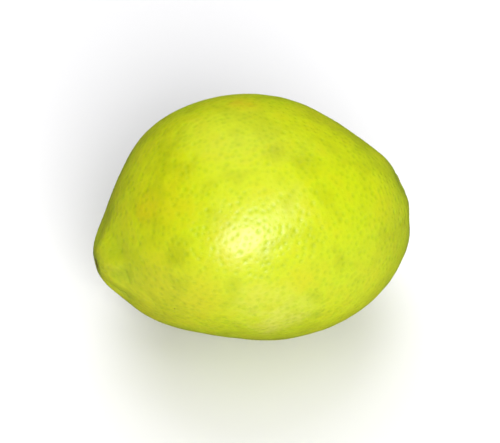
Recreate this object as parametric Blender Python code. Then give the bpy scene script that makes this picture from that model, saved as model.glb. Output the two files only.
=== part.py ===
"""A small yellow-green lemon, grown in one piece and lying on its side.

The fruit's long axis runs along X, from the nippled tip at -X to the stem end at +X, and Z is up. The whole
skin is one rule: a sphere's points are pushed out to an egg shape, pressed in where the fruit grew against
others, and given the nipple at the tip and the bare scar of the stalk. It rests on a small flat spot.
"""

import math

import bmesh
import bpy
from mathutils import Vector

MM = 0.001
NAME = "lemon"

# The egg shape, in millimetres, measured from the middle of the long axis.
HALF_LENGTH = 22.8
HALF_WIDTH = 18.7
HALF_HEIGHT = 18.6
TIP_FULLNESS = 0.10
END_BLUNTNESS = -0.014

# Where the skin is pressed flat or stands out as a shoulder: the direction it faces, how far it goes in as a
# share of the radius, negative for a shoulder, and how wide it spreads.
PRESSED = (
    (Vector((-0.80, 0.58, 0.18)), 0.052, 0.05),
    (Vector((0.77, 0.30, 0.57)), 0.114, 0.22),
    (Vector((-0.45, -0.62, -0.64)), 0.132, 0.18),
    (Vector((0.64, -0.66, -0.40)), -0.022, 0.16),
    (Vector((0.20, 0.95, -0.25)), 0.030, 0.12),
    (Vector((-0.35, 0.50, 0.79)), -0.042, 0.10),
)

# Slow swells of the skin: how many waves along each axis, where they start, and their height in millimetres.
SWELLS = (
    (Vector((5.0, 2.0, -3.0)), 0.4, 0.11),
    (Vector((-2.0, 5.5, 4.0)), 1.9, 0.10),
    (Vector((3.5, -4.5, 6.0)), 4.1, 0.08),
    (Vector((7.0, 5.0, 1.5)), 2.7, 0.06),
)

# The tip, in millimetres from the long axis: a broad cone, the nipple on it, the groove round the nipple, the
# pleats that run into the groove, how unevenly they are shifted round it, and the pit that the style left.
CONE_HEIGHT = 1.5
CONE_RADIUS = 9.0
NIPPLE_HEIGHT = 1.1
NIPPLE_RADIUS = 5.1
NIPPLE_SQUARENESS = 3
GROOVE_DEPTH = 0.07
GROOVE_RADIUS = 6.1
GROOVE_WIDTH = 1.3
PLEATS = 8
PLEAT_DEPTH = 0.26
PLEAT_RADIUS = 5.2
PLEAT_WIDTH = 2.4
PLEAT_SHIFT = 1.0
PLEAT_SHIFT_WAVES = 2.0
STYLE_DEPTH = 0.34
STYLE_RADIUS = 0.80

# The stem end, in millimetres from the long axis: a shallow dish, the raised ring of the scar, the sunk disc
# in it with the stub of pith at its middle, and the furrows that run out from it, shifted unevenly round it.
DISH_DEPTH = 1.15
DISH_RADIUS = 5.2
RING_HEIGHT = 0.34
RING_RADIUS = 2.5
RING_WIDTH = 0.5
DISC_DEPTH = 0.30
DISC_RADIUS = 1.9
DISC_SQUARENESS = 4
PITH_HEIGHT = 0.24
PITH_RADIUS = 0.6
FURROWS = 7
FURROW_DEPTH = 0.50
FURROW_RADIUS = 5.6
FURROW_WIDTH = 2.6
FURROW_SHIFT = 1.2
FURROW_SHIFT_START = 0.8

# The spot it rests on, in millimetres: how much of the underside is flattened, and the soft bend round it.
REST_DEPTH = 1.05
REST_BEND = 0.75
REST_SLICE = 0.012

# The grid of the skin: slices round the axis, rings along it, and how much closer the rings are at the ends.
SLICES = 72
RINGS = 58
RING_CROWDING = 0.60

PEEL_COLOUR = (0.450, 0.520, 0.015, 1.0)
PEEL_ROUGHNESS = 0.38


def hump(distance, radius, squareness=2):
    """A hump of height 1 at distance 0, with a flatter top and steeper sides the squarer it is."""
    return math.exp(-((distance / radius) ** squareness))


def band(distance, radius, width):
    """A ring of height 1 at the given radius."""
    return math.exp(-(((distance - radius) / width) ** 2))


def tip_rise(distance, turn):
    """How far the tip stands out along the axis, at a distance from it and an angle round it."""
    rise = CONE_HEIGHT * hump(distance, CONE_RADIUS)
    rise += NIPPLE_HEIGHT * hump(distance, NIPPLE_RADIUS, NIPPLE_SQUARENESS)
    rise -= GROOVE_DEPTH * band(distance, GROOVE_RADIUS, GROOVE_WIDTH)
    rise -= STYLE_DEPTH * hump(distance, STYLE_RADIUS)
    shift = PLEAT_SHIFT * math.sin(PLEAT_SHIFT_WAVES * turn)
    pleat = 0.5 - 0.5 * math.cos(PLEATS * turn + shift)
    rise -= PLEAT_DEPTH * pleat * band(distance, PLEAT_RADIUS, PLEAT_WIDTH)
    return rise


def stem_rise(distance, turn):
    """How far the stem end stands out along the axis, at a distance from it and an angle round it."""
    rise = -DISH_DEPTH * hump(distance, DISH_RADIUS)
    rise += RING_HEIGHT * band(distance, RING_RADIUS, RING_WIDTH)
    rise -= DISC_DEPTH * hump(distance, DISC_RADIUS, DISC_SQUARENESS)
    rise += PITH_HEIGHT * hump(distance, PITH_RADIUS)
    shift = FURROW_SHIFT * math.sin(turn + FURROW_SHIFT_START)
    furrow = 0.5 - 0.5 * math.cos(FURROWS * turn + shift)
    rise -= FURROW_DEPTH * furrow * band(distance, FURROW_RADIUS, FURROW_WIDTH)
    return rise


def skin_point(direction):
    """The point of the skin, in millimetres, that faces a direction from the fruit's middle."""
    along, across, height = direction
    fullness = 1.0 - TIP_FULLNESS * along + END_BLUNTNESS * along * along
    point = Vector((
        HALF_LENGTH * along,
        HALF_WIDTH * across * fullness,
        HALF_HEIGHT * height * fullness,
    ))
    share = 1.0
    for facing, depth, spread in PRESSED:
        share -= depth * math.exp((direction.dot(facing.normalized()) - 1.0) / spread)
    swell = 0.0
    for waves, start, size in SWELLS:
        swell += size * math.sin(waves.dot(direction) + start)
    point = point * share + direction * swell
    distance = math.hypot(point.y, point.z)
    turn = math.atan2(height, across)
    if along < 0.0:
        point.x -= tip_rise(distance, turn)
    else:
        point.x += stem_rise(distance, turn)
    return point


def flattened(height, floor):
    """A height kept above the floor, with a soft bend of REST_BEND where it meets it."""
    overlap = max(REST_BEND - abs(height - floor), 0.0) / REST_BEND
    return max(height, floor) + overlap**3 * REST_BEND / 6.0


def ring_direction(vertex):
    """A sphere's point turned so that its poles lie along X, with the rings crowded towards them."""
    polar = math.acos(max(-1.0, min(1.0, vertex.z)))
    polar -= RING_CROWDING * 0.5 * math.sin(2.0 * polar)
    turn = math.atan2(vertex.y, vertex.x)
    return Vector((
        math.cos(polar),
        math.sin(polar) * math.cos(turn),
        math.sin(polar) * math.sin(turn),
    ))


def peel_material():
    """Yellow-green peel with a soft waxy shine."""
    material = bpy.data.materials.new("peel")
    material.use_nodes = True
    shader = material.node_tree.nodes["Principled BSDF"]
    shader.inputs["Base Color"].default_value = PEEL_COLOUR
    shader.inputs["Roughness"].default_value = PEEL_ROUGHNESS
    shader.inputs["Metallic"].default_value = 0.0
    return material


def make_lemon(collection):
    """The whole fruit: a sphere shaped by the rule, flattened below, with its bottom centre at the origin."""
    form = bmesh.new()
    bmesh.ops.create_uvsphere(form, u_segments=SLICES, v_segments=RINGS, radius=1.0)
    for vertex in form.verts:
        vertex.co = skin_point(ring_direction(vertex.co))

    floor = min(vertex.co.z for vertex in form.verts) + REST_DEPTH
    for vertex in form.verts:
        vertex.co.z = flattened(vertex.co.z, floor)
    bmesh.ops.bisect_plane(
        form,
        geom=form.verts[:] + form.edges[:] + form.faces[:],
        plane_co=(0.0, 0.0, floor + REST_SLICE),
        plane_no=(0.0, 0.0, 1.0),
        clear_inner=True,
    )
    rim = [edge for edge in form.edges if edge.is_boundary]
    bmesh.ops.holes_fill(form, edges=rim, sides=0)

    lowest = Vector([min(vertex.co[axis] for vertex in form.verts) for axis in range(3)])
    highest = Vector([max(vertex.co[axis] for vertex in form.verts) for axis in range(3)])
    bottom_centre = (lowest + highest) * 0.5
    bottom_centre.z = lowest.z
    for vertex in form.verts:
        vertex.co = (vertex.co - bottom_centre) * MM
    bmesh.ops.recalc_face_normals(form, faces=form.faces[:])

    mesh = bpy.data.meshes.new(NAME)
    form.to_mesh(mesh)
    form.free()
    mesh.shade_smooth()
    mesh.materials.append(peel_material())
    lemon = bpy.data.objects.new(NAME, mesh)
    collection.objects.link(lemon)
    return lemon


def main():
    for old in list(bpy.data.objects):
        bpy.data.objects.remove(old, do_unlink=True)
    collection = bpy.data.collections.new(NAME)
    bpy.context.scene.collection.children.link(collection)
    make_lemon(collection)


main()
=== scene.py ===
# The looks of the small yellow-green lemon: its peel with the oil pores pressed in, the scar that the
# stalk left, the dry point at the tip, and the soft light and pale floor that it is seen on.
import math
from types import SimpleNamespace

import bpy
from mathutils import Matrix, Vector


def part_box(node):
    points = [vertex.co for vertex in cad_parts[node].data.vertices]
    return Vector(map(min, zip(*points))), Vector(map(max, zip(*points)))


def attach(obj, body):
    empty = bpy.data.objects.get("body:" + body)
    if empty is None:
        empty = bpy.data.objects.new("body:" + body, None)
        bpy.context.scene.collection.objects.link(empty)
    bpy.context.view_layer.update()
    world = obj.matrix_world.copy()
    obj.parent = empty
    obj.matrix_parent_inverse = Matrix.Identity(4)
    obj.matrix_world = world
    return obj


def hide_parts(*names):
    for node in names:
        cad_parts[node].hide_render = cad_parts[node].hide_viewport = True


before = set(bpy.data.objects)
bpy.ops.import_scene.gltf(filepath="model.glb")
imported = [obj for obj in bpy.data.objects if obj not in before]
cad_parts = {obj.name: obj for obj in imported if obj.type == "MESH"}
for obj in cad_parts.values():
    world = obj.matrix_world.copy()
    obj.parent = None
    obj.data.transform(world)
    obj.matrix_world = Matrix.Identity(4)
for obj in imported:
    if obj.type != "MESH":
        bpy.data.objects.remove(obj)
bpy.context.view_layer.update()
millimetre = 0.001  # in the frame's metres


class Wire:
    # a number or vector on its way through a node tree, so that a formula can be written out as one
    def __init__(self, socket):
        self.socket = socket
        self.tree = socket.id_data

    def __add__(self, other):
        return calc("ADD", self, other)

    def __sub__(self, other):
        return calc("SUBTRACT", self, other)

    def __rsub__(self, other):
        return calc("SUBTRACT", other, self)

    def __mul__(self, other):
        return calc("MULTIPLY", self, other)

    def __truediv__(self, other):
        return calc("DIVIDE", self, other)

    def __rtruediv__(self, other):
        return calc("DIVIDE", other, self)

    def __pow__(self, other):
        return calc("POWER", self, other)

    __radd__ = __add__
    __rmul__ = __mul__


def plug(value, socket):
    # links a wire or a socket, and sets anything else as the socket's own value
    if isinstance(value, Wire):
        value = value.socket
    if isinstance(value, bpy.types.NodeSocket):
        socket.id_data.links.new(value, socket)
    else:
        socket.default_value = value


def openSocket(sockets, name):
    # the socket of that name that the node's settings leave in use
    return next(socket for socket in sockets if socket.name == name and socket.enabled)


def addNode(tree, kind, inputs=(), **settings):
    node = tree.nodes.new(kind)
    for name, value in settings.items():
        setattr(node, name, value)
    for name, value in dict(inputs).items():
        plug(value, openSocket(node.inputs, name))
    return node


def calc(operation, *terms):
    tree = next(term.tree for term in terms if isinstance(term, Wire))
    node = addNode(tree, "ShaderNodeMath", operation=operation)
    for socket, term in zip(node.inputs, terms):
        plug(term, socket)
    return Wire(node.outputs[0])


def vectorCalc(operation, *terms):
    tree = next(term.tree for term in terms if isinstance(term, Wire))
    node = addNode(tree, "ShaderNodeVectorMath", operation=operation)
    for socket, term in zip(node.inputs, terms):
        plug(term, socket)
    return Wire(next(socket for socket in node.outputs if socket.enabled))


def scaled(vector, factor):
    node = addNode(vector.tree, "ShaderNodeVectorMath", {
        "Vector": vector,
        "Scale": factor,
    }, operation="SCALE")
    return Wire(node.outputs["Vector"])


def split(vector):
    node = addNode(vector.tree, "ShaderNodeSeparateXYZ", {"Vector": vector})
    return [Wire(socket) for socket in node.outputs]


def joined(x, y, z):
    tree = next(part.tree for part in (x, y, z) if isinstance(part, Wire))
    return Wire(addNode(tree, "ShaderNodeCombineXYZ", {"X": x, "Y": y, "Z": z}).outputs["Vector"])


def hump(distance, radius, squareness=2.0):
    # 1 at distance 0, with a flatter top and steeper sides the squarer it is
    return calc("EXPONENT", ((distance / radius) ** squareness) * -1.0)


def band(distance, radius, width):
    # a ring of height 1 at the given radius
    offset = (distance - radius) / width
    return calc("EXPONENT", offset * offset * -1.0)


def ramp(value, low, high):
    # 0 below low, 1 above high, with a soft bend at both
    node = addNode(value.tree, "ShaderNodeMapRange", {
        "Value": value,
        "From Min": low,
        "From Max": high,
    }, interpolation_type="SMOOTHSTEP")
    return Wire(node.outputs["Result"])


def noise(point, size, detail=2.0, roughness=0.5, distortion=0.0, start=(0.0, 0.0, 0.0)):
    # soft noise between about 0 and 1, with blobs of the given size in the point's own unit
    node = addNode(point.tree, "ShaderNodeTexNoise", {
        "Vector": vectorCalc("ADD", point, start),
        "Scale": 1.0 / size,
        "Detail": detail,
        "Roughness": roughness,
        "Distortion": distortion,
    })
    return Wire(node.outputs[0])


def spreadOut(tree):
    # the nodes in columns, in the order that they were made
    nodesInColumn = 10
    columnWidth = 240.0
    rowHeight = 190.0
    for index, node in enumerate(tree.nodes):
        column, row = divmod(index, nodesInColumn)
        node.location = (columnWidth * column, -rowHeight * row)


# The skin of the lemon, in millimetres from the middle of its long axis. The values down to restBend are
# those of the solid, and the rest is the fine relief on it.
lemonShape = {
    "halfLength": 22.8,
    "halfWidth": 18.7,
    "halfHeight": 18.6,
    "tipFullness": 0.10,
    "endBluntness": -0.014,
    "coneHeight": 1.5,
    "coneRadius": 9.0,
    "nippleHeight": 1.1,
    "nippleRadius": 5.1,
    "nippleSquareness": 3.0,
    "grooveDepth": 0.07,
    "grooveRadius": 6.1,
    "grooveWidth": 1.3,
    "pleats": 8.0,
    "pleatDepth": 0.26,
    "pleatRadius": 5.2,
    "pleatWidth": 2.4,
    "pleatShift": 1.0,
    "pleatShiftWaves": 2.0,
    "styleDepth": 0.34,
    "styleRadius": 0.80,
    "dishDepth": 1.15,
    "dishRadius": 5.2,
    "ringHeight": 0.34,
    "ringRadius": 2.5,
    "ringWidth": 0.5,
    "discDepth": 0.30,
    "discRadius": 1.9,
    "discSquareness": 4.0,
    "pithHeight": 0.24,
    "pithRadius": 0.6,
    "furrows": 7.0,
    "furrowDepth": 0.50,
    "furrowRadius": 5.6,
    "furrowWidth": 2.6,
    "furrowShift": 1.2,
    "furrowShiftStart": 0.8,
    "restDepth": 1.05,
    "restBend": 0.75,
    "poreSpacing": 0.78,
    "poreCrowding": 6.0,
    "poreRadiusSmall": 0.24,
    "poreRadiusLarge": 0.42,
    "poreWidth": 0.85,
    "poreDepthSmall": 0.020,
    "poreDepthLarge": 0.090,
    "scarMargin": 1.2,
    "pebbleSize": 2.4,
    "pebbleHeight": 0.13,
    "dentSize": 7.0,
    "dentHeight": 0.16,
}
# Where the skin is pressed flat or stands out as a shoulder: the direction it faces, how far in as a share
# of the radius, and how wide it spreads
pressedSides = [
    ((-0.80, 0.58, 0.18), 0.052, 0.05),
    ((0.77, 0.30, 0.57), 0.114, 0.22),
    ((-0.45, -0.62, -0.64), 0.132, 0.18),
    ((0.64, -0.66, -0.40), -0.022, 0.16),
    ((0.20, 0.95, -0.25), 0.030, 0.12),
    ((-0.35, 0.50, 0.79), -0.042, 0.10),
]
# Slow swells of the skin: the waves along each axis, where they start, and their height in millimetres
swells = [
    ((5.0, 2.0, -3.0), 0.4, 0.11),
    ((-2.0, 5.5, 4.0), 1.9, 0.10),
    ((3.5, -4.5, 6.0), 4.1, 0.08),
    ((7.0, 5.0, 1.5), 2.7, 0.06),
]
skinGrid = 129  # points along each edge of the cube that is blown up into the lemon
poreSeed = 11
farFromPores = 4.0  # in a pore's radii, far enough for no gland to show


def pleatPattern(size, distance, turn):
    # 1 along the pleats round the nipple, 0 between them
    shift = size["pleatShift"] * calc("SINE", size["pleatShiftWaves"] * turn)
    fold = 0.5 - 0.5 * calc("COSINE", size["pleats"] * turn + shift)
    return fold * band(distance, size["pleatRadius"], size["pleatWidth"])


def furrowPattern(size, distance, turn):
    # 1 along the furrows round the stem end, 0 between them
    shift = size["furrowShift"] * calc("SINE", turn + size["furrowShiftStart"])
    fold = 0.5 - 0.5 * calc("COSINE", size["furrows"] * turn + shift)
    return fold * band(distance, size["furrowRadius"], size["furrowWidth"])


def tipRise(size, distance, turn):
    # how far the tip stands out along the long axis
    rise = size["coneHeight"] * hump(distance, size["coneRadius"])
    rise += size["nippleHeight"] * hump(distance, size["nippleRadius"], size["nippleSquareness"])
    rise -= size["grooveDepth"] * band(distance, size["grooveRadius"], size["grooveWidth"])
    rise -= size["styleDepth"] * hump(distance, size["styleRadius"])
    return rise - size["pleatDepth"] * pleatPattern(size, distance, turn)


def stemRise(size, distance, turn):
    # how far the stem end stands out along the long axis
    rise = -1.0 * size["dishDepth"] * hump(distance, size["dishRadius"])
    rise += size["ringHeight"] * band(distance, size["ringRadius"], size["ringWidth"])
    rise -= size["discDepth"] * hump(distance, size["discRadius"], size["discSquareness"])
    rise += size["pithHeight"] * hump(distance, size["pithRadius"])
    return rise - size["furrowDepth"] * furrowPattern(size, distance, turn)


def skinPoint(size, direction):
    # where the smooth skin lies that faces a direction
    along, across, height = split(direction)
    fullness = 1.0 - size["tipFullness"] * along + size["endBluntness"] * along * along
    point = joined(
        size["halfLength"] * along,
        size["halfWidth"] * across * fullness,
        size["halfHeight"] * height * fullness,
    )
    share = 1.0
    for facing, depth, spread in pressedSides:
        facing = tuple(Vector(facing).normalized())
        share -= depth * calc("EXPONENT", (vectorCalc("DOT_PRODUCT", direction, facing) - 1.0) / spread)
    swell = 0.0
    for waves, start, high in swells:
        swell += high * calc("SINE", vectorCalc("DOT_PRODUCT", direction, waves) + start)
    point = vectorCalc("ADD", scaled(point, share), scaled(direction, swell))
    x, y, z = split(point)
    distance = calc("SQRT", y * y + z * z)
    turn = calc("ARCTAN2", height, across)
    onTip = calc("LESS_THAN", along, 0.0)
    x = x - onTip * tipRise(size, distance, turn) + (1.0 - onTip) * stemRise(size, distance, turn)
    return joined(x, y, z)


def smoothSkin(tree, size, position):
    # an even grid of quads over a ball, shaped by the rule
    cube = addNode(tree, "GeometryNodeMeshCube", {
        "Size": (2.0, 2.0, 2.0),
        "Vertices X": skinGrid,
        "Vertices Y": skinGrid,
        "Vertices Z": skinGrid,
    })
    evened = vectorCalc("TANGENT", scaled(position, math.pi / 4.0))
    shaped = addNode(tree, "GeometryNodeSetPosition", {
        "Geometry": cube.outputs["Mesh"],
        "Position": skinPoint(size, vectorCalc("NORMALIZE", evened)),
    })
    return shaped.outputs["Geometry"]


def nearestPore(tree, size, skin, position, onScar):
    # oil pores scattered evenly over the skin, none on the scar of the stalk, and for each point of the
    # skin the distance to the nearest one and that one's own random number
    pores = addNode(tree, "GeometryNodeDistributePointsOnFaces", {
        "Mesh": skin,
        "Distance Min": size["poreSpacing"],
        "Density Max": size["poreCrowding"],
        "Density Factor": 1.0 - onScar,
        "Seed": poreSeed,
    }, distribute_method="POISSON")
    nearest = addNode(tree, "GeometryNodeSampleNearest", {
        "Geometry": pores.outputs["Points"],
    }, domain="POINT")
    chance = addNode(tree, "FunctionNodeRandomValue", {"Seed": poreSeed + 1}, data_type="FLOAT")

    def ofNearest(value, kind):
        node = addNode(tree, "GeometryNodeSampleIndex", {
            "Geometry": pores.outputs["Points"],
            "Value": value,
            "Index": nearest.outputs["Index"],
        }, data_type=kind, domain="POINT")
        return Wire(node.outputs["Value"])

    toPore = vectorCalc("DISTANCE", position, ofNearest(position, "FLOAT_VECTOR"))
    return toPore, ofNearest(openSocket(chance.outputs, "Value"), "FLOAT")


def makeSkinTree():
    tree = bpy.data.node_groups.new("lemonSkin", "GeometryNodeTree")
    tree.is_modifier = True
    for name, value in lemonShape.items():
        socket = tree.interface.new_socket(name, in_out="INPUT", socket_type="NodeSocketFloat")
        socket.default_value = value
    tree.interface.new_socket("peel", in_out="INPUT", socket_type="NodeSocketMaterial")
    tree.interface.new_socket("Geometry", in_out="OUTPUT", socket_type="NodeSocketGeometry")
    groupIn = addNode(tree, "NodeGroupInput")
    size = {name: Wire(groupIn.outputs[name]) for name in lemonShape}
    position = Wire(addNode(tree, "GeometryNodeInputPosition").outputs["Position"])
    skin = smoothSkin(tree, size, position)

    # how far each point is from the nearest pore, in that pore's radii, and how deep the pore is
    x, y, z = split(position)
    fromAxis = calc("SQRT", y * y + z * z)
    scarEdge = ramp(fromAxis, size["ringRadius"], size["ringRadius"] + size["scarMargin"])
    onScar = calc("GREATER_THAN", x, 0.0) * (1.0 - scarEdge)
    toPore, poreTone = nearestPore(tree, size, skin, position, onScar)
    radiusSpread = size["poreRadiusLarge"] - size["poreRadiusSmall"]
    depthSpread = size["poreDepthLarge"] - size["poreDepthSmall"]
    poreRadius = size["poreRadiusSmall"] + radiusSpread * poreTone
    poreDepth = size["poreDepthSmall"] + depthSpread * poreTone * poreTone
    poreAway = toPore / poreRadius + farFromPores * onScar
    marked = skin
    for name, value in {"poreAway": poreAway, "poreTone": poreTone}.items():
        marked = addNode(tree, "GeometryNodeStoreNamedAttribute", {
            "Geometry": marked,
            "Name": name,
            "Value": value,
        }, data_type="FLOAT", domain="POINT").outputs["Geometry"]

    # the pores and the slow pebbling between them, in and out along the skin's own normal
    pebbles = (noise(position, size["pebbleSize"], detail=1.0) - 0.5) * size["pebbleHeight"]
    dents = noise(position, size["dentSize"], detail=1.0, start=(9.0, 4.0, 30.0)) - 0.5
    unevenness = (pebbles + dents * size["dentHeight"]) * (1.0 - onScar)
    normal = Wire(addNode(tree, "GeometryNodeInputNormal").outputs[0])
    dimpled = addNode(tree, "GeometryNodeSetPosition", {
        "Geometry": marked,
        "Offset": scaled(normal, unevenness - hump(poreAway, size["poreWidth"]) * poreDepth),
    })

    # the flat spot that it rests on
    extent = addNode(tree, "GeometryNodeAttributeStatistic", {
        "Geometry": skin,
        "Attribute": z,
    }, data_type="FLOAT", domain="POINT")
    floor = Wire(openSocket(extent.outputs, "Min")) + size["restDepth"]
    rested = addNode(tree, "GeometryNodeSetPosition", {
        "Geometry": dimpled.outputs["Geometry"],
        "Position": joined(x, y, calc("SMOOTH_MAX", z, floor, size["restBend"])),
    })
    smooth = addNode(tree, "GeometryNodeSetShadeSmooth", {"Geometry": rested.outputs["Geometry"]})
    real = addNode(tree, "GeometryNodeRealizeInstances", {"Geometry": smooth.outputs["Geometry"]})
    painted = addNode(tree, "GeometryNodeSetMaterial", {
        "Geometry": real.outputs["Geometry"],
        "Material": groupIn.outputs["peel"],
    })
    groupOut = addNode(tree, "NodeGroupOutput")
    plug(painted.outputs["Geometry"], groupOut.inputs["Geometry"])
    spreadOut(tree)
    return tree


def skinMesh(peel):
    # the skin as a plain mesh, in millimetres from the middle of its long axis
    tree = makeSkinTree()
    maker = bpy.data.objects.new("lemonMaker", bpy.data.meshes.new("lemonMaker"))
    bpy.context.scene.collection.objects.link(maker)
    modifier = maker.modifiers.new("skin", "NODES")
    modifier.node_group = tree
    inputs = [item for item in tree.interface.items_tree if item.in_out == "INPUT"]
    sockets = {item.name: item.identifier for item in inputs}
    for name, value in lemonShape.items():
        modifier[sockets[name]] = value
    modifier[sockets["peel"]] = peel
    depsgraph = bpy.context.evaluated_depsgraph_get()
    evaluated = maker.evaluated_get(depsgraph)
    mesh = bpy.data.meshes.new_from_object(evaluated, preserve_all_data_layers=True, depsgraph=depsgraph)
    bpy.data.objects.remove(maker)
    mesh.name = "lemonSkin"
    return mesh


def bottomCentre(lowest, highest):
    return Vector(((lowest.x + highest.x) / 2.0, (lowest.y + highest.y) / 2.0, lowest.z))


def makeLemon(peel):
    # the bottom centre of the skin's box goes where that of the solid's is
    mesh = skinMesh(peel)
    lowest = Vector([min(vertex.co[axis] for vertex in mesh.vertices) for axis in range(3)])
    highest = Vector([max(vertex.co[axis] for vertex in mesh.vertices) for axis in range(3)])
    axisPoint = bottomCentre(*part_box("lemon")) - bottomCentre(lowest, highest) * millimetre
    mesh.transform(Matrix.Translation(axisPoint) @ Matrix.Scale(millimetre, 4))
    lemon = bpy.data.objects.new("lemonPeel", mesh)
    bpy.context.scene.collection.objects.link(lemon)
    axisPlace = [round(part / millimetre, 2) for part in axisPoint]
    print("lemon made,", len(mesh.polygons), "faces, long axis at", axisPlace, "mm")
    return lemon, axisPoint


# The finish of the peel. Colours are linear red, green and blue, sizes are millimetres, a range is where a
# tone starts and where it is full, and a share is how far it covers what is under it.
peelFinish = {
    "lemon": (0.445, 0.517, 0.003, 1.0),
    "lime": (0.424, 0.520, 0.003, 1.0),
    "ochre": (0.472, 0.472, 0.004, 1.0),
    "rust": (0.505, 0.412, 0.005, 1.0),
    "green": (0.231, 0.340, 0.008, 1.0),
    "cream": (0.503, 0.524, 0.075, 1.0),
    "olive": (0.345, 0.390, 0.002, 1.0),
    "glandTint": (0.87, 0.93, 0.60, 1.0),
    "pitTint": (0.80, 0.86, 0.50, 1.0),
    "brown": (0.109, 0.061, 0.015, 1.0),
    "cork": (0.306, 0.238, 0.088, 1.0),
    "pith": (0.503, 0.490, 0.218, 1.0),
    # the body, its soft blotches and its flecks
    "limeSize": 13.0,
    "ochreSize": 10.4,
    "greenSize": 15.6,
    "mottleSize": 3.2,
    "blotchSize": 3.8,
    "fleckSize": 1.5,
    "grainSize": 0.55,
    "towardsTip": (2.0, 20.0),
    "towardsStem": (8.0, 23.0),
    "limeMottle": 0.25,
    "limeRange": (0.52, 0.80),
    "ochreMottle": 0.5,
    "ochreAtTip": 0.2,
    "ochreRange": (0.78, 1.10),
    "ochreShare": 0.75,
    "greenMottle": 0.15,
    "greenAtStem": 0.12,
    "greenRange": (0.74, 1.05),
    "greenShare": 0.50,
    "blotchShare": 0.68,
    "blotchShareAtTip": 0.12,
    "oliveBlotchRange": (0.47, 0.68),
    "oliveBlotchShare": 0.72,
    "ochreBlotchRange": (0.32, 0.50),
    "ochreBlotchShare": 0.60,
    "patchCore": 0.1,
    "patchRaggedness": 1.4,
    "patchFleckRange": (0.35, 0.65),
    "patchShareLow": 0.6,
    "patchShareRise": 0.8,
    "fleckRange": (0.30, 0.48),
    "fleckShare": 0.22,
    "grainRange": (0.35, 0.70),
    "grainShare": 0.05,
    # the oil glands and the pits of their pores, in a pore's radii
    "glandRange": (0.55, 1.50),
    "glandShareSmall": 0.35,
    "glandShareRise": 0.45,
    "pitWidth": 0.50,
    "pitShare": 0.50,
    # the tip
    "raggedness": 0.7,
    # the shade painted into the pleats
    "pleatShadeShare": 0.30,
    "tipRingRadius": 1.5,
    "tipRingWidth": 0.6,
    "tipRingShare": 0.35,
    "styleRange": (0.45, 1.05),
    "styleShare": 0.85,
    # the stem end and its scar
    "stemGreenRange": (2.5, 9.0),
    "stemGreenRaggedness": 3.0,
    "stemGreenShare": 0.35,
    # the shade painted into the furrows
    "furrowShadeShare": 0.38,
    "scarLopsidedness": 1.3,
    "scarRaggedness": 0.5,
    "discRange": (1.85, 2.35),
    "pithShare": 0.9,
    "crustRange": (0.34, 0.62),
    "crustShare": 0.55,
    "strandRadius": 1.15,
    "strandWidth": 0.40,
    "strandSize": 0.62,
    "strandRange": (0.52, 0.66),
    "strandShare": 0.65,
    "rimWidth": 0.36,
    "rimShareLow": 0.35,
    "rimShareRise": 0.55,
    "crackRadius": 2.05,
    "crackWidth": 0.16,
    "crackShareLow": 0.25,
    "crackShareRise": 0.5,
    # the brown specks
    "speckSpacing": 3.4,
    "speckFreeShare": 0.80,
    "speckRadius": 0.035,
    "speckRadiusRise": 0.075,
    "speckRaggedness": 0.05,
    "speckShareLow": 0.35,
    "speckShareRise": 0.5,
    # the fine bumps
    "grainHeight": 0.035,
    "pitDepth": 0.020,
    "wrinkleHeight": 0.10,
    "wrinkleSize": 0.9,
    "wrinklesAround": 6.0,
    "wrinkleStretch": 0.3,
    "wrinkleStart": 0.6,
    "wrinkleRadius": 4.0,
    "wrinkleWidth": 2.2,
    "corkHeight": 0.08,
    "corkGrain": 0.22,
    # the shine
    "roughness": 0.37,
    "poreRoughness": 0.06,
    "mottleRoughness": 0.12,
    "dryRoughness": 0.75,
    "refraction": 1.45,
    "waxShare": 0.08,
    "waxRoughness": 0.22,
    "glow": 0.12,
    "glowDepth": 1.5,
    "glowColour": (1.0, 0.7, 0.15),
}
# Where the peel has another tone, and the pale and dark patches that are painted sheen, reflection and
# shade: the colour, its middle from the long axis, its radius and its strength
patches = [
    ("rust", (-0.6, 5.7, 17.7), 3.6, 0.50),
    ("olive", (-13.3, 2.5, 16.3), 3.2, 0.65),
    ("rust", (-18.1, -3.1, 11.8), 3.2, 0.45),
    ("ochre", (-17.0, -4.0, 10.5), 6.5, 0.16),
    ("olive", (-21.1, -5.8, 6.4), 5.0, 0.10),
    ("ochre", (-18.8, -10.2, 5.4), 5.5, 0.42),
    ("olive", (-16.5, -10.7, 8.9), 2.6, 0.75),
    ("ochre", (-14.2, -14.8, 3.1), 4.5, 0.40),
    # painted reflection: pale patches along the lower side that stand in for the pale floor shining in the
    # peel
    ("cream", (-7.2, -17.7, 2.8), 5.5, 0.32),
    ("cream", (-3.0, -18.2, 0.0), 6.0, 0.38),
    ("cream", (-5.2, -17.5, -2.8), 4.8, 0.50),
    # painted sheen: pale patches round the highlight
    ("cream", (-8.5, -12.0, 13.0), 6.0, 0.14),
    ("cream", (-0.8, -11.7, 14.5), 5.5, 0.16),
    # an ochre spot, a small green mark, and a darker olive spot and band near the top
    ("ochre", (0.5, -17.5, 5.0), 3.8, 0.45),
    ("green", (1.3, -18.1, -2.2), 1.5, 0.55),
    ("olive", (0.2, -4.6, 17.6), 2.6, 0.80),
    ("olive", (3.8, -7.0, 16.2), 3.2, 0.45),
    # painted shade: darker green and olive on the right shoulder and flank
    ("green", (14.4, -3.8, 11.7), 5.0, 0.22),
    ("olive", (15.5, -12.0, 4.0), 6.0, 0.35),
    # a greener patch low on the far side
    ("green", (12.0, 12.0, -6.0), 8.0, 0.55),
]


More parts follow.
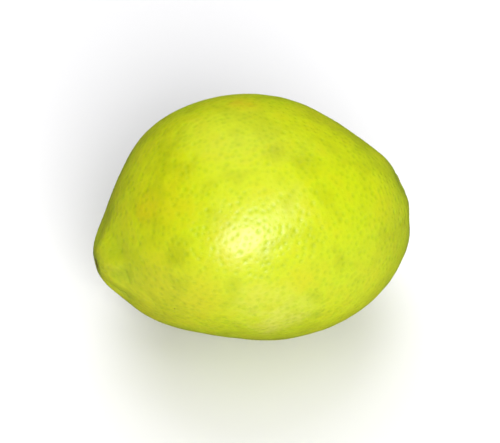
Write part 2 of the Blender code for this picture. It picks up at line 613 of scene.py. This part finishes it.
def mixColour(factor, first, second, blend="MIX"):
    tree = factor.tree
    node = addNode(tree, "ShaderNodeMix", data_type="RGBA", blend_type=blend, clamp_factor=True)
    plug(factor, openSocket(node.inputs, "Factor"))
    plug(first, openSocket(node.inputs, "A"))
    plug(second, openSocket(node.inputs, "B"))
    return Wire(openSocket(node.outputs, "Result"))


def cells(point, size):
    # scattered cells: the distance to the nearest one's middle, and that cell's own random colour
    node = addNode(point.tree, "ShaderNodeTexVoronoi", {
        "Vector": point,
        "Scale": 1.0 / size,
        "Randomness": 1.0,
    })
    return Wire(openSocket(node.outputs, "Distance")), Wire(openSocket(node.outputs, "Color"))


def peelSpot(tree, look):
    # a place on the peel, in millimetres from the long axis, with the pores and noises that the tones go by
    coords = addNode(tree, "ShaderNodeTexCoord")
    placed = addNode(tree, "ShaderNodeMapping", {"Vector": coords.outputs["Object"]}, name="fromAxis")
    placed.inputs["Scale"].default_value = [1.0 / millimetre] * 3
    point = Wire(placed.outputs["Vector"])
    x, y, z = split(point)
    onTip = calc("LESS_THAN", x, 0.0)
    poreAway = Wire(addNode(tree, "ShaderNodeAttribute", attribute_name="poreAway").outputs["Fac"])
    grain = noise(point, look["grainSize"], detail=2.0, roughness=0.6, start=(17.0, 60.0, 2.0))
    return SimpleNamespace(
        point=point,
        x=x,
        y=y,
        z=z,
        fromAxis=calc("SQRT", y * y + z * z),
        turn=calc("ARCTAN2", z, y),
        onTip=onTip,
        onStem=1.0 - onTip,
        poreTone=Wire(addNode(tree, "ShaderNodeAttribute", attribute_name="poreTone").outputs["Fac"]),
        gland=1.0 - ramp(poreAway, *look["glandRange"]),
        pit=hump(poreAway, look["pitWidth"]),
        mottle=noise(point, look["mottleSize"], detail=3.0, roughness=0.6, start=(40.0, 2.0, 9.0)),
        fleck=noise(point, look["fleckSize"], detail=3.0, roughness=0.65, start=(5.0, 55.0, 71.0)),
        grain=grain,
        ragged=(grain - 0.5) * look["raggedness"],
    )


def paintBody(spot, look):
    # broad areas of ripe lemon, lime, ochre and green, broken up by a finer mottle
    towardsTip = ramp(spot.x * -1.0, *look["towardsTip"])
    towardsStem = ramp(spot.x, *look["towardsStem"])
    lime = noise(spot.point, look["limeSize"], detail=2.0, start=(3.0, 7.0, 1.0))
    lime += look["limeMottle"] * spot.mottle
    ochre = noise(spot.point, look["ochreSize"], detail=3.0, start=(80.0, 31.0, 5.0))
    ochre += look["ochreMottle"] * spot.mottle + look["ochreAtTip"] * towardsTip
    green = noise(spot.point, look["greenSize"], detail=2.0, start=(11.0, 90.0, 23.0))
    green += look["greenMottle"] * spot.mottle + look["greenAtStem"] * towardsStem
    colour = mixColour(ramp(lime, *look["limeRange"]), look["lemon"], look["lime"])
    colour = mixColour(ramp(ochre, *look["ochreRange"]) * look["ochreShare"], colour, look["ochre"])
    colour = mixColour(ramp(green, *look["greenRange"]) * look["greenShare"], colour, look["green"])

    # soft blotches, a little stronger towards the tip
    blotch = noise(
        spot.point,
        look["blotchSize"],
        detail=1.5,
        roughness=0.55,
        distortion=0.3,
        start=(61.0, 8.0, 44.0),
    )
    share = look["blotchShare"] + look["blotchShareAtTip"] * towardsTip
    oliveBlotch = ramp(blotch, *look["oliveBlotchRange"])
    ochreBlotch = 1.0 - ramp(blotch, *look["ochreBlotchRange"])
    colour = mixColour(oliveBlotch * look["oliveBlotchShare"] * share, colour, look["olive"])
    return mixColour(ochreBlotch * look["ochreBlotchShare"] * share, colour, look["ochre"])


def paintPatches(spot, look, colour):
    # the patches with their ragged edges, then fine olive flecks and a pale grain over the whole peel
    flecked = look["patchShareLow"] + look["patchShareRise"] * ramp(spot.fleck, *look["patchFleckRange"])
    for tone, middle, radius, strength in patches:
        away = vectorCalc("DISTANCE", spot.point, middle)
        away += (spot.mottle - 0.5) * radius * look["patchRaggedness"]
        shown = (1.0 - ramp(away, look["patchCore"] * radius, radius)) * flecked
        colour = mixColour(shown * strength, colour, look[tone])
    flecks = 1.0 - ramp(spot.fleck, *look["fleckRange"])
    colour = mixColour(flecks * look["fleckShare"], colour, look["olive"])
    return mixColour(ramp(spot.grain, *look["grainRange"]) * look["grainShare"], colour, look["cream"])


def paintPores(spot, look, colour):
    # each oil gland shows a little greener through the peel, with the pit of its pore darker still
    glands = spot.gland * (look["glandShareSmall"] + look["glandShareRise"] * spot.poreTone)
    colour = mixColour(glands, colour, look["glandTint"], blend="MULTIPLY")
    return mixColour(spot.pit * look["pitShare"] * spot.poreTone, colour, look["pitTint"], blend="MULTIPLY")


def paintTip(spot, look, colour):
    # the nipple: darker green painted into its pleats as shade, with the dry brown point that the style
    # left
    pleats = spot.onTip * pleatPattern(lemonShape, spot.fromAxis, spot.turn)
    ring = spot.onTip * band(spot.fromAxis + spot.ragged, look["tipRingRadius"], look["tipRingWidth"])
    style = spot.onTip * (1.0 - ramp(spot.fromAxis + spot.ragged, *look["styleRange"]))
    colour = mixColour(pleats * look["pleatShadeShare"], colour, look["green"])
    colour = mixColour(ring * look["tipRingShare"], colour, look["green"])
    return mixColour(style * look["styleShare"], colour, look["brown"]), style


def paintStemEnd(spot, look, colour):
    # the stem end: greener skin round it, and darker green painted into its furrows as shade
    edge = spot.fromAxis + look["stemGreenRaggedness"] * spot.ragged
    around = spot.onStem * (1.0 - ramp(edge, *look["stemGreenRange"]))
    furrows = spot.onStem * furrowPattern(lemonShape, spot.fromAxis, spot.turn)
    colour = mixColour(around * look["stemGreenShare"], colour, look["green"])
    colour = mixColour(furrows * look["furrowShadeShare"], colour, look["green"])

    # the scar: a dry disc of pith with the stalk's strands, a cork rim, and a crack between the two
    lopsided = spot.fromAxis + (spot.mottle - 0.5) * look["scarLopsidedness"]
    lopsided += look["scarRaggedness"] * spot.ragged
    disc = spot.onStem * (1.0 - ramp(lopsided, *look["discRange"]))
    strandNoise = noise(spot.point, look["strandSize"], detail=1.0, start=(7.0, 1.0, 3.0))
    strands = band(lopsided, look["strandRadius"], look["strandWidth"])
    strands *= ramp(strandNoise, *look["strandRange"])
    rim = spot.onStem * band(lopsided, lemonShape["ringRadius"], look["rimWidth"])
    crack = spot.onStem * band(lopsided, look["crackRadius"], look["crackWidth"])
    crust = ramp(spot.fleck, *look["crustRange"])
    rimShare = look["rimShareLow"] + look["rimShareRise"] * crust
    crackShare = look["crackShareLow"] + look["crackShareRise"] * crust
    colour = mixColour(disc * look["pithShare"], colour, look["pith"])
    colour = mixColour(disc * crust * look["crustShare"], colour, look["cork"])
    colour = mixColour(disc * strands * look["strandShare"], colour, look["brown"])
    colour = mixColour(rim * rimShare, colour, look["cork"])
    colour = mixColour(crack * crackShare, colour, look["brown"])
    return colour, calc("MAXIMUM", disc, rim)


def paintSpecks(spot, look, colour):
    # a few small brown specks
    away, random = cells(spot.point, look["speckSpacing"])
    chance, big, dark = split(random)
    isSpeck = calc("GREATER_THAN", chance, look["speckFreeShare"])
    radius = look["speckRadius"] + look["speckRadiusRise"] * big * big
    edge = away + (spot.grain - 0.5) * look["speckRaggedness"]
    speck = isSpeck * (1.0 - ramp(edge, radius * 0.5, radius))
    return mixColour(speck * (look["speckShareLow"] + look["speckShareRise"] * dark), colour, look["brown"])


def fineBumps(spot, look, dry):
    # the grain and pits of the peel, the wrinkles round both ends and the crust of the dry parts
    height = (spot.grain - 0.5) * look["grainHeight"] - spot.pit * look["pitDepth"]
    reach = spot.fromAxis + look["wrinkleStart"]
    spoke = joined(
        look["wrinkleStretch"] * spot.fromAxis,
        look["wrinklesAround"] * spot.y / reach,
        look["wrinklesAround"] * spot.z / reach,
    )
    wrinkles = noise(spoke, look["wrinkleSize"], detail=2.0, start=(2.0, 2.0, 2.0)) - 0.5
    wrinkled = band(spot.fromAxis, look["wrinkleRadius"], look["wrinkleWidth"])
    height += wrinkles * look["wrinkleHeight"] * wrinkled
    crust = noise(spot.point, look["corkGrain"], detail=2.0) - 0.5
    return height + crust * look["corkHeight"] * dry


def makePeelMaterial():
    material = bpy.data.materials.new("lemonPeel")
    material.use_nodes = True
    tree = material.node_tree
    tree.nodes.clear()
    look = peelFinish
    spot = peelSpot(tree, look)
    colour = paintBody(spot, look)
    colour = paintPatches(spot, look, colour)
    colour = paintPores(spot, look, colour)
    colour, style = paintTip(spot, look, colour)
    colour, scar = paintStemEnd(spot, look, colour)
    colour = paintSpecks(spot, look, colour)

    dry = calc("MAXIMUM", style, scar)
    bump = addNode(tree, "ShaderNodeBump", {
        "Strength": 1.0,
        "Distance": millimetre,
        "Height": fineBumps(spot, look, dry),
    })
    roughness = look["roughness"] + spot.gland * look["poreRoughness"]
    roughness += (spot.mottle - 0.5) * look["mottleRoughness"]
    shader = addNode(tree, "ShaderNodeBsdfPrincipled", {
        "Base Color": colour,
        "Roughness": roughness * (1.0 - dry) + look["dryRoughness"] * dry,
        "IOR": look["refraction"],
        "Subsurface Weight": look["glow"],
        "Subsurface Radius": look["glowColour"],
        "Subsurface Scale": look["glowDepth"] * millimetre,
        "Coat Weight": look["waxShare"],
        "Coat Roughness": look["waxRoughness"],
        "Normal": bump.outputs["Normal"],
    })
    output = addNode(tree, "ShaderNodeOutputMaterial")
    plug(shader.outputs["BSDF"], output.inputs["Surface"])
    spreadOut(tree)
    return material


# The light, floor and camera, in degrees round and above the lemon, metres, and the lens in millimetres
studio = {
    "azimuth": -20.0,
    "elevation": 45.0,
    "lens": 200.0,
    "distance": 0.40,
    "aim": (0.0, 0.0, 0.0175),
    "clipStart": 0.01,
    "floorSide": 1.3,
    "floorColour": (0.73, 0.73, 0.75, 1.0),
    "floorRoughness": 0.7,
    "skyColour": (0.98, 0.98, 1.0, 1.0),
    "skyStrength": 0.035,
    "backdropStrength": 0.88,
}
lamps = [
    # name, azimuth, elevation, distance, width, height, watts, colour, whether it shows in the gloss
    ("key", -10.0, 32.5, 0.9, 0.46, 0.46, 9.0, (1.0, 0.99, 0.96), True),
    ("soft", 14.0, 45.0, 0.9, 0.55, 0.55, 1.9, (1.0, 0.99, 0.96), True),
    ("above", 10.0, 84.0, 1.1, 1.0, 1.0, 4.7, (1.0, 1.0, 1.0), False),
    ("back", 165.0, 48.0, 0.9, 1.0, 1.0, 6.8, (1.0, 1.0, 1.0), False),
]


def putRound(holder, azimuth, elevation, distance):
    # at a place round the lemon, given in degrees round and above it, and facing it
    turn = math.radians(azimuth)
    rise = math.radians(elevation)
    away = Vector((math.sin(turn) * math.cos(rise), -math.cos(turn) * math.cos(rise), math.sin(rise)))
    holder.location = Vector(studio["aim"]) + away * distance
    holder.rotation_euler = (-away).to_track_quat("-Z", "Y").to_euler()
    bpy.context.scene.collection.objects.link(holder)


def addLamp(name, azimuth, elevation, distance, width, height, watts, colour, shines):
    lamp = bpy.data.lights.new(name, "AREA")
    lamp.shape = "ELLIPSE"
    lamp.size = width
    lamp.size_y = height
    lamp.energy = watts
    lamp.color = colour
    holder = bpy.data.objects.new(name, lamp)
    holder.visible_glossy = shines
    putRound(holder, azimuth, elevation, distance)


def makeFloor():
    half = studio["floorSide"] / 2.0
    corners = [(-half, -half, 0.0), (half, -half, 0.0), (half, half, 0.0), (-half, half, 0.0)]
    mesh = bpy.data.meshes.new("floor")
    mesh.from_pydata(corners, [], [(0, 1, 2, 3)])
    material = bpy.data.materials.new("paleFloor")
    material.use_nodes = True
    shader = material.node_tree.nodes["Principled BSDF"]
    shader.inputs["Base Color"].default_value = studio["floorColour"]
    shader.inputs["Roughness"].default_value = studio["floorRoughness"]
    mesh.materials.append(material)
    floor = bpy.data.objects.new("floor", mesh)
    floor.visible_glossy = False  # else its shine veils the rim of the peel
    bpy.context.scene.collection.objects.link(floor)


def makeWorld():
    world = bpy.data.worlds.new("studio")
    world.use_nodes = True
    background = world.node_tree.nodes["Background"]
    background.inputs["Color"].default_value = studio["skyColour"]
    # a pale backdrop to look at, which sends hardly any light onto the lemon
    isSeen = Wire(addNode(world.node_tree, "ShaderNodeLightPath").outputs["Is Camera Ray"])
    brighter = studio["backdropStrength"] - studio["skyStrength"]
    plug(studio["skyStrength"] + brighter * isSeen, background.inputs["Strength"])
    bpy.context.scene.world = world


def makeCamera():
    camera = bpy.data.cameras.new("camera")
    camera.lens = studio["lens"]
    camera.clip_start = studio["clipStart"]
    holder = bpy.data.objects.new("camera", camera)
    putRound(holder, studio["azimuth"], studio["elevation"], studio["distance"])
    bpy.context.scene.camera = holder


peel = makePeelMaterial()
lemon, axisPoint = makeLemon(peel)
peel.node_tree.nodes["fromAxis"].inputs["Location"].default_value = axisPoint * (-1.0 / millimetre)
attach(lemon, "root")
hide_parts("lemon")
print("peel painted")

makeFloor()
makeWorld()
for lampValues in lamps:
    addLamp(*lampValues)
makeCamera()
bpy.context.scene.view_settings.view_transform = "Standard"
print("floor, light and camera set")
